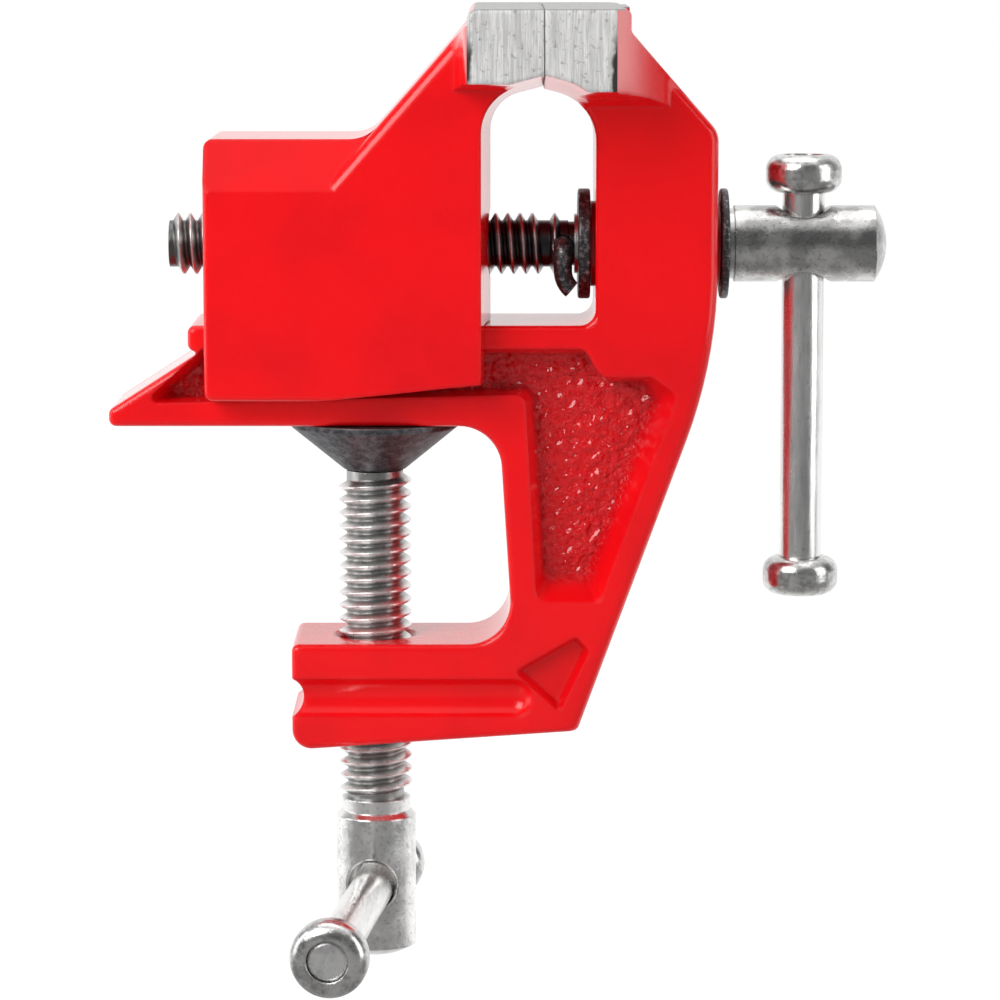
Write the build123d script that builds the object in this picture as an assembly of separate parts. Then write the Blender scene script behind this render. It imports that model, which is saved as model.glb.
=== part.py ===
from build123d import *
from math import atan, cos, degrees, radians, sin, tan
import os

# A small bench vise that clamps to the edge of a table. All lengths are in millimetres.
# Z runs up the clamp screw's axis, X along the lead screw from the free end of the slide
# to the handle, and Y across the jaws. The origin is on the clamp screw's axis, in the
# plane of the flange's underside, which rests on the table.

# Jaws
jaw_width = 60.0
jaw_top = 67.6
jaw_face_height = 12.8
moving_jaw_face_height = 11.6
jaw_meet = 27.7
fixed_jaw_thickness = 11.2
moving_jaw_thickness = 12.2
jaw_back_crown = 2.5
jaw_corner = 1.3
closed_gap = 0.15

# Arch that the two jaws form above the lead screw
arch_top = 54.6
arch_drop = 2.2
fixed_arch_corner = 8.2
moving_arch_corner = 6.2
arch_spread = 2.7
parting_land = 2.0
notch_top = 58.2

# Frame casting, seen from the side
frame_thickness = 23.0
flange_reach = 42.8
flange_thickness = 3.8
flange_rise = 1.4
flange_tip = 2.6
throat_depth = 20.5
throat_lean = 2.3
throat_height = 35.9
throat_corner = 7.0
arm_reach = 13.4
arm_height = 17.6
arm_taper = 3.2
arm_corner = 3.2
heel_reach = 33.4
column_inner = 36.1
column_outer = 55.9
column_bend = 10.8
column_bend_radius = 80.0
shoulder_height = 47.5
shoulder_radius = 4.0
rib_drop = 3.7
rail_reach = 29.9
rail_top = 16.4
rail_head = 3.7
rail_end_step = 1.6
rail_root_radius = 2.6
tip_corner = 1.2
edge_round = 1.0
column_round = 2.0
flare_start = 45.6

# Recesses that leave a thin web in the frame
web_thickness = 12.0
throat_rim = 4.2
outer_rim = 4.3
gusset_rim = 2.2
recess_floor_rise = 4.2
recess_draft = 1.6
outer_recess_draft = 4.4
recess_corner = 1.8
recess_shelf = 8.1
heel_recess_rim = 3.0
heel_recess_depth = 2.6
heel_recess_draft = 20.0
groove_depth = 1.9
groove_width = 6.4

# Moving jaw
slide_thickness = 34.0
slide_length = 46.0
slide_front = 19.1
slide_top = 46.6
slide_bevel_foot = 38.4
slide_bevel = 4.2
slide_bottom = 4.7
slide_bottom_rise = 2.9
slide_bottom_level = 18.5
slide_corner = 1.5
slide_edge_round = 0.9
neck_foot = 0.8
neck_drop = 2.4
neck_corner = 6.0
neck_round = 2.0
moving_flare_start = 49.8
flare_root = 1.0
flare_overlap = 8.0
moving_flare_reach = 6.5
rail_side_clearance = 0.35
rail_top_clearance = 0.25

# Lead screw
lead_height = 28.9
lead_diameter = 10.0
lead_pitch = 2.0
lead_tip = 33.4
lead_thread_length = 65.2
lead_relief_length = 1.0
lead_relief_diameter = 7.2
lead_shank_diameter = 9.8
lead_collar_diameter = 11.5
lead_collar_length = 0.9
lead_barrel_diameter = 12.5
lead_barrel_length = 23.0
lead_bar_offset = 11.4
lead_nut_length = 21.0
lead_bore_clearance = 0.4

# Clamp screw
clamp_diameter = 12.0
clamp_pitch = 2.2
clamp_thread_length = 54.9
clamp_neck_diameter = 11.4
clamp_neck_length = 2.2
clamp_barrel_diameter = 13.2
clamp_barrel_length = 22.7
clamp_barrel_chamfer = 0.8
clamp_bar_offset = 11.9
clamp_bar_turn = 6.3
spigot_diameter = 6.4
spigot_head_diameter = 9.0
spigot_head_height = 1.4

# Threads
thread_depth_ratio = 0.6
thread_crest_ratio = 0.125
thread_half_angle = 30.0
thread_clearance = 0.12
thread_chamfer = 1.3
blank_allowance = 0.5
nut_chamfer = 0.9
dome_height = 2.0

# Washers, bosses and split pin
washer_diameter = 18.0
washer_bore_clearance = 0.12
washer_round = 0.4
inner_washer_thickness = 2.0
outer_washer_thickness = 1.3
seat_gap = 0.12
boss_diameter = 14.0
boss_height = 0.6
shank_clearance = 0.25
pin_diameter = 3.0
pin_clearance = 0.12
pin_bend = 1.8
pin_drop = 7.0
pin_curl_turn = 50.0
pin_from_washer = 2.5

# Handle bars and their knobs
bar_diameter = 6.9
bar_length = 60.1
bar_hole_diameter = 8.1
bar_hole_chamfer = 0.5
lead_bar_gap = 2.1
clamp_bar_gap = 4.3
bar_rest_gap = 0.05
knob_diameter = 12.4
knob_height = 6.2
knob_round = 2.4
knob_bore = 6.5
knob_fit = 0.03
rivet_recess = 0.4
rivet_chamfer = 0.4

# Clamp pad
pad_diameter = 27.4
pad_height = 8.0
pad_rim = 1.0
pad_foot_diameter = 10.3
pad_gap = 0.15
pad_cup_depth = 3.4
pad_cup_diameter = 10.6
pad_clearance = 0.3

# Places worked out from the sizes above
half_frame = frame_thickness / 2
half_slide = slide_thickness / 2
half_jaw = jaw_width / 2
beyond = jaw_width
rib_height = jaw_top - rib_drop
neck_top = jaw_top - neck_drop
jaw_foot = jaw_top - jaw_face_height
moving_jaw_foot = jaw_top - moving_jaw_face_height
fixed_jaw_back = jaw_meet + fixed_jaw_thickness
moving_jaw_face = jaw_meet - closed_gap
moving_jaw_back = jaw_meet - moving_jaw_thickness
arm_top = -throat_height
arm_bottom = arm_top - arm_height
heel_bottom = arm_bottom + arm_taper
rail_root = rail_top - rail_head
slide_back = slide_front - slide_length
inner_boss_face = column_inner - boss_height
outer_boss_face = column_outer + boss_height
inner_washer_left = inner_boss_face - seat_gap - inner_washer_thickness
outer_washer_right = outer_boss_face + seat_gap + outer_washer_thickness
lead_thread_end = lead_thread_length - lead_tip
lead_barrel_start = outer_washer_right + seat_gap + lead_collar_length
lead_bar_place = lead_barrel_start + lead_bar_offset
pin_place = inner_washer_left - pin_from_washer
pad_foot = -pad_gap - pad_height
clamp_thread_top = pad_foot - pad_clearance
clamp_thread_foot = clamp_thread_top - clamp_thread_length
clamp_barrel_top = clamp_thread_foot - clamp_neck_length
clamp_hole_height = clamp_barrel_top - clamp_bar_offset
clamp_bar_height = clamp_hole_height - (bar_hole_diameter - bar_diameter) / 2 + bar_rest_gap


def outline(*corners, plane=Plane.XZ):
    """A closed flat outline, from corners given as two coordinates and a rounding radius."""
    turns = []
    for i, (x, z, r) in enumerate(corners):
        corner = Vector(x, z)
        back = (Vector(*corners[i - 1][:2]) - corner).normalized()
        ahead = (Vector(*corners[(i + 1) % len(corners)][:2]) - corner).normalized()
        half = radians(back.get_angle(ahead)) / 2
        reach = r / tan(half)
        middle = corner + (back + ahead).normalized() * (r / sin(half) - r)
        turns.append((corner + back * reach, middle, corner + ahead * reach, r))
    edges = []
    for (start, middle, end, r), following in zip(turns, turns[1:] + turns[:1]):
        if r:
            edges.append(ThreePointArc(start, middle, end))
        edges.append(Line(end, following[0]))
    return plane * make_face(edges)


def slab(face, thickness):
    """An outline made solid to equal depths on both sides of its plane."""
    return extrude(face, amount=thickness / 2, both=True)


def rod(start, end, diameter, height=0.0):
    """A round rod along X."""
    return Pos((start + end) / 2, 0, height) * Rot(0, 90, 0) * Cylinder(diameter / 2, end - start)


def post(foot, head, diameter):
    """A round rod along Z."""
    return Pos(0, 0, (foot + head) / 2) * Cylinder(diameter / 2, head - foot)


def thread(diameter, pitch, length):
    """A thread that stands on the origin along Z, its turns drawn as rings."""
    outer = diameter / 2
    depth = thread_depth_ratio * pitch
    root = outer - depth
    crest = thread_crest_ratio * pitch / 2
    flank = depth * tan(radians(thread_half_angle))
    corners = [(0, 0), (root, 0)]
    for turn in range(int(length / pitch)):
        middle = (turn + 0.5) * pitch
        corners.append((root, middle - crest - flank))
        corners.append((outer, middle - crest))
        corners.append((outer, middle + crest))
        corners.append((root, middle + crest + flank))
    corners += [(root, length), (0, length)]
    profile = make_face(Polyline(*corners, close=True))
    return revolve(Plane.XZ * profile, Axis.Z)


def outer_edge(z):
    """How far the column's sloped outer edge stands from the clamp screw's axis."""
    return heel_reach + (z - heel_bottom) * (column_outer - heel_reach) / (column_bend - heel_bottom)


def throat_edge(z):
    """How far the throat's back wall stands from the clamp screw's axis."""
    return throat_depth - throat_lean * z / throat_height


def round_rim(solid, x, z, half, radius):
    """Rounds the run of edges that passes x, z on both side faces."""
    edges = [solid.edges().sort_by_distance((x, side * half, z))[0] for side in (-1, 1)]
    return fillet(edges, radius)


def front_shape(base, flare, shoulder):
    """The jaws' shape from the front: a stem that flares out to the full jaw width."""
    low = flare - beyond / 4
    sides = []
    for side in (-1, 1):
        start = (side * base, flare)
        corner = (side * half_jaw, shoulder)
        sides.append(Line((side * base, low), start))
        sides.append(Spline([start, corner], tangents=[(0, 1), (side, 0.22)]))
        sides.append(Line(corner, (side * half_jaw, jaw_top)))
    sides.append(Line((-half_jaw, jaw_top), (half_jaw, jaw_top)))
    sides.append(Line((-base, low), (base, low)))
    return Plane.YZ * make_face(sides)


def plan_shape(face, back, stem_end, base):
    """The jaws' shape from above: full width at the jaw, drawn in to the stem behind it."""
    away = 1 if stem_end > back else -1
    sides = []
    for side in (-1, 1):
        corner = (back, side * half_jaw)
        stem = (stem_end, side * base)
        turns = [(away * 0.3, -side), (away, -side * 0.1)]
        sides.append(Line((face, side * half_jaw), corner))
        sides.append(Spline([corner, stem], tangents=turns))
    sides.append(Line((face, -half_jaw), (face, half_jaw)))
    sides.append(Line((stem_end, -base), (stem_end, base)))
    return make_face(sides)


def jaw_block(side_face, front_face, plan_face):
    """What is inside the jaw's side, front and plan outlines."""
    across = slab(side_face, jaw_width)
    along = extrude(front_face, amount=2 * beyond, both=True)
    down = extrude(plan_face, amount=2 * beyond, both=True)
    return across & along & down


def arch_cut(straight):
    """The opening above the lead screw: even between the two planes, wider beyond them."""
    face = outline(
        (slide_front, 0, 0),
        (column_inner, 0, 0),
        (column_inner, arch_top - arch_drop, fixed_arch_corner),
        (jaw_meet, arch_top, 0),
        (slide_front, arch_top - arch_drop, moving_arch_corner),
    )
    cut = slab(face, 2 * straight)
    run = half_jaw - straight
    draft = degrees(atan(arch_spread / run))
    for side in (-1, 1):
        out = Vector(0, side, 0)
        cut += extrude(Pos(out * straight) * face, amount=run + 1, dir=out, taper=-draft)
    return cut


def notch_cut(foot):
    """The V between the jaws' rounded lower corners, which rises from the frame's side outwards."""
    radius = notch_top - foot
    near = radius * (1 - cos(radians(45)))
    left = jaw_meet - radius
    right = jaw_meet + radius
    face = Plane.XZ * make_face([
        Line((left, foot - radius), (left, foot)),
        ThreePointArc((left, foot), (jaw_meet - near, foot + near), (jaw_meet, notch_top)),
        ThreePointArc((jaw_meet, notch_top), (jaw_meet + near, foot + near), (right, foot)),
        Line((right, foot), (right, foot - radius)),
        Line((right, foot - radius), (left, foot - radius)),
    ])
    rise = notch_top - arch_top
    cut = Part()
    for side in (-1, 1):
        slant = Vector(0, side * (half_jaw - half_frame), rise)
        start = Pos(0, side * half_frame, -rise)
        cut += extrude(start * face, amount=slant.length + 1, dir=slant)
    return cut


def recess(side):
    """The recess between the rims of slide, column and flange, on one side."""
    shelf = recess_shelf
    foot = arm_top + throat_corner
    top = flange_thickness + flange_rise
    rim = [
        (-flange_reach + 2.5 * gusset_rim, flange_thickness, recess_corner / 2),
        (-rail_reach + gusset_rim, rail_root, recess_corner / 2),
        (column_inner - recess_corner, rail_root, recess_corner),
        (column_inner + recess_corner / 2, shelf, recess_corner),
        (outer_edge(shelf) - 2.2 * outer_rim, shelf, recess_corner),
        (outer_edge(top) - outer_rim, top, recess_corner),
        (outer_edge(foot) - outer_rim, foot, recess_corner),
        (throat_edge(foot) + throat_rim, foot, recess_corner),
        (throat_edge(0) + throat_rim, top, recess_corner),
    ]
    wide = outer_recess_draft
    near = recess_draft
    shift = [
        (2 * near, near / 2),
        (near, -near),
        (near / 2, -near),
        (near, -near),
        (-near, -near),
        (-wide, -near),
        (-wide / 2, recess_floor_rise),
        (near, recess_floor_rise),
        (near, near / 2),
    ]
    floor = [(x + dx, z + dz, r) for (x, z, r), (dx, dz) in zip(rim, shift)]
    outside = outline(*rim, plane=Plane.XZ.offset(-side * half_frame))
    inside = outline(*floor, plane=Plane.XZ.offset(-side * web_thickness / 2))
    return loft([inside, outside], ruled=True)


def heel_recess(side):
    """The shallow hollow in the heel of the column, beside the arm."""
    middle = arm_top - arm_height / 2
    rim = heel_recess_rim
    face = outline(
        (outer_edge(arm_top) - 1.3 * outer_rim, arm_top + rim / 2, recess_corner / 2),
        (outer_edge(arm_top) - outer_rim + rim / 3, arm_top - rim / 3, recess_corner / 2),
        (heel_reach - rim, heel_bottom + rim, recess_corner / 2),
        (throat_edge(arm_top), middle + arm_height / 4, recess_corner / 2),
        plane=Plane.XZ.offset(-side * half_frame),
    )
    inward = Vector(0, -side, 0)
    return extrude(face, amount=heel_recess_depth, dir=inward, taper=heel_recess_draft)


def arm_groove():
    """The round-bottomed groove along both sides and the end of the clamp arm."""
    radius = (groove_width**2 / 4 + groove_depth**2) / (2 * groove_depth)
    middle = arm_top - arm_height / 2
    stop = throat_edge(arm_top)
    reach = half_frame + radius - groove_depth
    end = -arm_reach - radius + groove_depth
    groove = Pos(end, 0, middle) * Rot(90, 0, 0) * Cylinder(radius, frame_thickness + 2)
    for side in (-1, 1):
        groove += Pos(0, side * reach, 0) * rod(end - radius, stop, 2 * radius, middle)
        groove += Pos(stop, side * reach, middle) * Sphere(radius)
    return groove


def countersink(diameter):
    """The cone that opens a threaded hole, its wide end just above the origin."""
    wide = diameter / 2 + nut_chamfer
    return Cone(wide - 2 * nut_chamfer, wide, 2 * nut_chamfer, align=(Align.CENTER, Align.CENTER, Align.MAX))


def frame_casting():
    """The one-piece frame: slide rail, table flange, column with the fixed jaw, clamp arm."""
    back = fixed_jaw_back + jaw_back_crown
    frame = slab(outline(
        (-flange_reach, 0, tip_corner),
        (throat_edge(0), 0, throat_corner),
        (throat_edge(arm_top), arm_top, throat_corner),
        (-arm_reach, arm_top, tip_corner),
        (-arm_reach, arm_bottom, arm_corner),
        (heel_reach, heel_bottom, 0),
        (column_outer, column_bend, column_bend_radius),
        (column_outer, shoulder_height, shoulder_radius),
        (back, rib_height, 0),
        (back, jaw_top, 0),
        (jaw_meet, jaw_top, 0),
        (jaw_meet, arch_top, 0),
        (column_inner, arch_top - arch_drop, fixed_arch_corner),
        (column_inner, rail_top, rail_root_radius),
        (-rail_reach, rail_top, tip_corner),
        (-rail_reach, rail_root, tip_corner),
        (-rail_reach + rail_end_step, rail_root - rail_end_step / 2, rail_end_step / 4),
        (-flange_reach, flange_tip, tip_corner),
    ), frame_thickness)
    frame = round_rim(frame, outer_edge(arm_top), arm_top, half_frame, column_round)
    frame = round_rim(frame, 0, 0, half_frame, edge_round)
    stem = half_frame - column_round - flare_root
    low = flare_start - flare_overlap
    block = jaw_block(
        outline(
            (jaw_meet, low, 0),
            (jaw_meet, jaw_top, 0),
            (back, jaw_top, jaw_corner),
            (back, rib_height, jaw_corner),
            (column_outer, shoulder_height, shoulder_radius),
            (column_outer, low, 0),
        ),
        front_shape(stem, flare_start, jaw_foot),
        plan_shape(jaw_meet, fixed_jaw_back, column_outer, stem),
    )
    frame += block - arch_cut(half_frame) - notch_cut(jaw_foot)
    for side in (-1, 1):
        frame -= recess(side)
        frame -= heel_recess(side)
    frame -= arm_groove()
    frame += rod(inner_boss_face, column_outer - 1, boss_diameter, lead_height)
    frame += rod(column_inner + 1, outer_boss_face, boss_diameter, lead_height)
    frame -= rod(0, beyond, lead_shank_diameter + 2 * shank_clearance, lead_height)
    arm_foot = arm_bottom + arm_taper * arm_reach / (arm_reach + heel_reach)
    frame -= Pos(0, 0, arm_top) * countersink(clamp_diameter)
    frame -= Pos(0, 0, arm_foot) * Rot(180, 0, 0) * countersink(clamp_diameter)
    frame -= post(heel_bottom - arm_height, 0, clamp_diameter + 2 * thread_clearance)
    return frame


def moving_jaw():
    """The slide that straddles the rail, its neck, and the moving jaw, with the long nut."""
    foot = slide_bottom + slide_bottom_rise
    lean = (neck_top - slide_top) / (moving_jaw_back + neck_foot)
    neck_start = -neck_foot - (slide_top - slide_bevel_foot) / lean
    slide = slab(outline(
        (slide_back, slide_bottom, slide_corner),
        (slide_back + slide_bottom_level, slide_bottom, 0),
        (slide_front, foot, 0),
        (slide_front, slide_top, 0),
        (slide_back, slide_top, slide_corner),
    ), slide_thickness)
    slide = round_rim(slide, slide_back, lead_height, half_slide, slide_edge_round)
    for side in (-1, 1):
        bevel = outline(
            (side * half_slide, slide_bevel_foot, 0),
            (side * (half_slide - slide_bevel), slide_top, 0),
            (side * (half_slide - slide_bevel), slide_top + 1, 0),
            (side * (half_slide + 1), slide_top + 1, 0),
            (side * (half_slide + 1), slide_bevel_foot, 0),
            plane=Plane.YZ,
        )
        slide -= extrude(bevel, amount=beyond, both=True)
    fill = slab(outline(
        (-neck_foot - neck_corner, slide_top, 0),
        (-neck_foot, slide_top, neck_corner),
        (-neck_foot + neck_corner / lean, slide_top + neck_corner, 0),
        (-neck_foot + neck_corner / lean, slide_top - 1, 0),
        (-neck_foot - neck_corner, slide_top - 1, 0),
    ), slide_thickness - 2 * slide_bevel)
    neck = slab(outline(
        (neck_start, slide_bevel_foot, 0),
        (moving_jaw_back, neck_top, 0),
        (moving_jaw_back, jaw_top, slide_corner),
        (moving_jaw_face, jaw_top, 0),
        (moving_jaw_face, slide_bevel_foot, 0),
    ), slide_thickness)
    slope_middle = ((neck_start + moving_jaw_back) / 2, (slide_bevel_foot + neck_top) / 2)
    neck = round_rim(neck, *slope_middle, half_slide, neck_round)
    stem = half_slide - neck_round - flare_root
    low = moving_flare_start - flare_overlap
    block = jaw_block(
        outline(
            (moving_jaw_face, low, 0),
            (moving_jaw_face, jaw_top, 0),
            (moving_jaw_back, jaw_top, slide_corner),
            (moving_jaw_back, neck_top, 0),
            (neck_start + (low - slide_bevel_foot) / lean, low, 0),
        ),
        front_shape(stem, moving_flare_start, moving_jaw_foot),
        plan_shape(moving_jaw_face, moving_jaw_back, moving_jaw_back - moving_flare_reach, stem),
    )
    jaw = (neck + block) + (slide + fill) - arch_cut(parting_land / 2)
    jaw -= notch_cut(moving_jaw_foot)
    channel = 2 * (half_frame + rail_side_clearance)
    roof = rail_top + rail_top_clearance
    jaw -= Pos(0, 0, roof - beyond / 2) * Box(2 * beyond, channel, beyond)
    nut_back = slide_front - lead_nut_length
    jaw -= rod(-beyond, nut_back, lead_diameter + 2 * lead_bore_clearance, lead_height)
    jaw -= rod(nut_back - 1, beyond, lead_diameter + 2 * thread_clearance, lead_height)
    jaw -= Pos(slide_front, 0, lead_height) * Rot(0, 90, 0) * countersink(lead_diameter)
    return jaw


def dome(diameter):
    """A shallow cap on a round end, standing on the origin along Z."""
    ball = (diameter**2 / 4 + dome_height**2) / (2 * dome_height)
    return post(0, dome_height, diameter) & Pos(0, 0, dome_height - ball) * Sphere(ball)


def screw_barrel(diameter, length, hole_at):
    """The plain end that holds the handle bar, along Z from the origin."""
    barrel = post(0, length, diameter) + Pos(0, 0, length) * dome(diameter)
    hole = Pos(0, 0, hole_at) * Rot(90, 0, 0) * Cylinder(bar_hole_diameter / 2, 2 * diameter)
    barrel -= hole
    rims = [e for e in barrel.edges() if e.geom_type != GeomType.LINE and abs(e.center().Z - hole_at) < 1]
    return chamfer(rims, bar_hole_chamfer)


def lead_screw():
    """The screw that moves the jaw: thread, shank through the column, and bar end."""
    turned = rod(-lead_tip, lead_thread_end, lead_diameter + 2 * blank_allowance, lead_height)
    tip = turned.faces().sort_by(Axis.X)[0].edges()
    turns = Rot(0, 90, 0) * thread(lead_diameter, lead_pitch, lead_thread_length)
    screw = Pos(-lead_tip, 0, lead_height) * turns & chamfer(tip, thread_chamfer + blank_allowance)
    shank_start = lead_thread_end + lead_relief_length
    collar_start = outer_washer_right + seat_gap
    screw += rod(lead_thread_end, shank_start, lead_relief_diameter, lead_height)
    screw += rod(shank_start, collar_start, lead_shank_diameter, lead_height)
    screw += rod(collar_start, lead_barrel_start, lead_collar_diameter, lead_height)
    barrel = screw_barrel(lead_barrel_diameter, lead_barrel_length, lead_bar_offset)
    screw += Pos(lead_barrel_start, 0, lead_height) * Rot(0, 90, 0) * Rot(0, 0, 90) * barrel
    pin_hole = pin_diameter / 2 + pin_clearance
    screw -= Pos(pin_place, 0, lead_height) * Rot(90, 0, 0) * Cylinder(pin_hole, beyond)
    return screw


def washer(left, thickness):
    """A plain washer on the lead screw's shank."""
    bore = lead_shank_diameter + 2 * washer_bore_clearance
    ring = rod(left, left + thickness, washer_diameter, lead_height)
    ring = fillet(ring.edges().filter_by(GeomType.CIRCLE), washer_round)
    return ring - rod(left - 1, left + thickness + 1, bore, lead_height)


def inner_washer():
    return washer(inner_washer_left, inner_washer_thickness)


def outer_washer():
    return washer(outer_washer_right - outer_washer_thickness, outer_washer_thickness)


def split_pin():
    """The pin that keeps the inner washer on: its eye at the back, its closed legs bent in front."""
    outside = lead_diameter / 2 + pin_clearance
    eye_wire = pin_diameter / 2
    eye = pin_from_washer - pin_clearance - eye_wire / 2
    start = Vector(0, outside + eye_wire / 2, 0)
    front = -outside - pin_diameter / 2
    bend_start = Vector(0, front + pin_bend, 0)
    bend_end = Vector(0, front, -pin_bend)
    turn = radians(pin_curl_turn)
    curl = (pin_from_washer - pin_clearance - pin_diameter / 2 * cos(turn)) / (1 - cos(turn))
    curl_start = Vector(0, front, curl * sin(turn) - pin_drop)
    curl_end = Vector(curl * (1 - cos(turn)), front, -pin_drop)
    path = Line(start, bend_start)
    path += TangentArc(bend_start, bend_end, tangent=(0, -1, 0))
    path += Line(bend_end, curl_start)
    path += TangentArc(curl_start, curl_end, tangent=(0, 0, -1))
    legs = sweep(Plane(start, z_dir=(0, -1, 0)) * Circle(pin_diameter / 2), path=path)
    ring = Pos(0, start.Y + eye, 0) * Torus(eye, eye_wire / 2)
    return Pos(pin_place, 0, lead_height) * (legs + ring)


def handle_bar():
    """A handle bar along Z, its middle at the origin, both ends turned down for the knobs."""
    spigot = knob_height - rivet_recess
    ends = Cylinder(knob_bore / 2, bar_length + 2 * spigot)
    ends = chamfer(ends.edges().filter_by(GeomType.CIRCLE), rivet_chamfer)
    return ends + Cylinder(bar_diameter / 2, bar_length)


def handle_knob(end):
    """A ring knob on one end of a handle bar."""
    ring = Cylinder(knob_diameter / 2, knob_height)
    ring = fillet(ring.edges().filter_by(GeomType.CIRCLE), knob_round)
    ring -= Cylinder(knob_bore / 2 + knob_fit, knob_height + 2)
    return Pos(0, 0, end * (bar_length + knob_height) / 2) * ring


def on_lead_screw(part):
    """Puts a piece of the upright bar in the lead screw's hole."""
    middle = lead_height + lead_barrel_diameter / 2 + lead_bar_gap - bar_length / 2
    return Pos(lead_bar_place, 0, middle) * part


def on_clamp_screw(part):
    """Puts a piece of the level bar in the clamp screw's hole, its +Z end to the front."""
    ahead = bar_length / 2 - clamp_barrel_diameter / 2 - clamp_bar_gap
    return Pos(0, 0, clamp_bar_height) * Rot(0, 0, -clamp_bar_turn) * Rot(90, 0, 0) * Pos(0, 0, ahead) * part


def clamp_screw():
    """The screw that presses the pad up under the table, with its bar end below."""
    turned = post(clamp_thread_foot, clamp_thread_top, clamp_diameter + 2 * blank_allowance)
    tip = turned.faces().sort_by(Axis.Z)[-1].edges()
    turns = thread(clamp_diameter, clamp_pitch, clamp_thread_length)
    screw = Pos(0, 0, clamp_thread_foot) * turns & chamfer(tip, thread_chamfer + blank_allowance)
    screw += post(clamp_barrel_top, clamp_thread_foot, clamp_neck_diameter)
    barrel = screw_barrel(clamp_barrel_diameter, clamp_barrel_length, clamp_bar_offset)
    barrel = chamfer(barrel.faces().sort_by(Axis.Z)[0].edges(), clamp_barrel_chamfer)
    screw += Pos(0, 0, clamp_barrel_top) * Rot(180, 0, 0) * Rot(0, 0, clamp_bar_turn) * barrel
    head_foot = -pad_gap - pad_cup_depth + pad_clearance
    screw += post(clamp_thread_top, head_foot, spigot_diameter)
    screw += post(head_foot, head_foot + spigot_head_height, spigot_head_diameter)
    return screw


def clamp_pad():
    """The cone-shaped pad that swivels on the clamp screw's end and bears on the table."""
    cone = pad_height - pad_rim
    pad = Pos(0, 0, pad_foot + cone / 2) * Cone(pad_foot_diameter / 2, pad_diameter / 2, cone)
    pad += post(-pad_gap - pad_rim, -pad_gap, pad_diameter)
    pad -= post(-pad_gap - pad_cup_depth, 0, pad_cup_diameter)
    pad -= post(pad_foot - 1, 0, spigot_diameter + 2 * pad_clearance)
    return pad


parts = {
    "frame_casting": frame_casting(),
    "moving_jaw": moving_jaw(),
    "lead_screw": lead_screw(),
    "inner_washer": inner_washer(),
    "outer_washer": outer_washer(),
    "split_pin": split_pin(),
    "lead_bar": on_lead_screw(handle_bar()),
    "lead_bar_upper_knob": on_lead_screw(handle_knob(1)),
    "lead_bar_lower_knob": on_lead_screw(handle_knob(-1)),
    "clamp_screw": clamp_screw(),
    "clamp_pad": clamp_pad(),
    "clamp_bar": on_clamp_screw(handle_bar()),
    "clamp_bar_near_knob": on_clamp_screw(handle_knob(1)),
    "clamp_bar_far_knob": on_clamp_screw(handle_knob(-1)),
}

os.makedirs("parts", exist_ok=True)
for name, shape in parts.items():
    export_step(shape, f"parts/{name}.step")
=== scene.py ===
from math import cos, hypot, radians, sin, tan

import bpy
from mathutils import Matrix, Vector


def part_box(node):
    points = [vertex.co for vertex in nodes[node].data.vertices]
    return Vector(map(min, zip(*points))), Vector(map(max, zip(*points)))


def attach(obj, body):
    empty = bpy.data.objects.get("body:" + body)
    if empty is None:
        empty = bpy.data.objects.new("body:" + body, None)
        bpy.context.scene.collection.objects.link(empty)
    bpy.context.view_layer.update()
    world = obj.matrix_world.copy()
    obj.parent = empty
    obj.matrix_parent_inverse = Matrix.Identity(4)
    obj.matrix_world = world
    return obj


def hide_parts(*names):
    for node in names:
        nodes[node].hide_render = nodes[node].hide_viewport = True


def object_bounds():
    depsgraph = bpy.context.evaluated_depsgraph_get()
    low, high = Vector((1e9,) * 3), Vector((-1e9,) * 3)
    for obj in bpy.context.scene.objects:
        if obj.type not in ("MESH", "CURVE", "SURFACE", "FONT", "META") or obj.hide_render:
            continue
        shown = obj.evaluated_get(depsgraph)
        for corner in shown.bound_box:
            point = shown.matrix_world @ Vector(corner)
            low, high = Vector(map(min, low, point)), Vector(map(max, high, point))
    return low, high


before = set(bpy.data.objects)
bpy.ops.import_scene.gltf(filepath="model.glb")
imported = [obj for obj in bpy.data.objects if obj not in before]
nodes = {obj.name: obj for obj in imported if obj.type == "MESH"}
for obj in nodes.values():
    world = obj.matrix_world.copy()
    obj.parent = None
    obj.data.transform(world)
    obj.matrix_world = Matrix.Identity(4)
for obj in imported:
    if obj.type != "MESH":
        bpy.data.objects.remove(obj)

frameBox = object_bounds()
print("frame loaded:", len(nodes), "nodes")


# small helpers for node trees

def addNode(tree, kind, **settings):
    node = tree.nodes.new(kind)
    for key, value in settings.items():
        setattr(node, key, value)
    return node


def feed(tree, socket, value):
    # a number or colour is set, and another socket is linked
    if isinstance(value, bpy.types.NodeSocket):
        tree.links.new(value, socket)
    else:
        socket.default_value = value


def calc(tree, operation, first, second=0.0, third=0.0, clamp=False):
    node = addNode(tree, "ShaderNodeMath", operation=operation, use_clamp=clamp)
    for socket, value in zip(node.inputs, (first, second, third)):
        feed(tree, socket, value)
    return node.outputs[0]


def ramp(tree, value, low, high):
    # 0 at low, 1 at high; low may be the larger
    node = addNode(tree, "ShaderNodeMapRange", interpolation_type="SMOOTHSTEP")
    feed(tree, node.inputs["Value"], value)
    if low < high:
        bounds = (low, high, 0.0, 1.0)
    else:
        bounds = (high, low, 1.0, 0.0)
    for name, number in zip(("From Min", "From Max", "To Min", "To Max"), bounds):
        node.inputs[name].default_value = number
    return node.outputs["Result"]


def within(tree, value, limits, blend):
    # 1 between two limits, and 0 past them by the width of the blend
    low, high = limits
    above = ramp(tree, value, low - blend, low)
    below = ramp(tree, value, high + blend, high)
    return calc(tree, "MULTIPLY", above, below)


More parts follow.
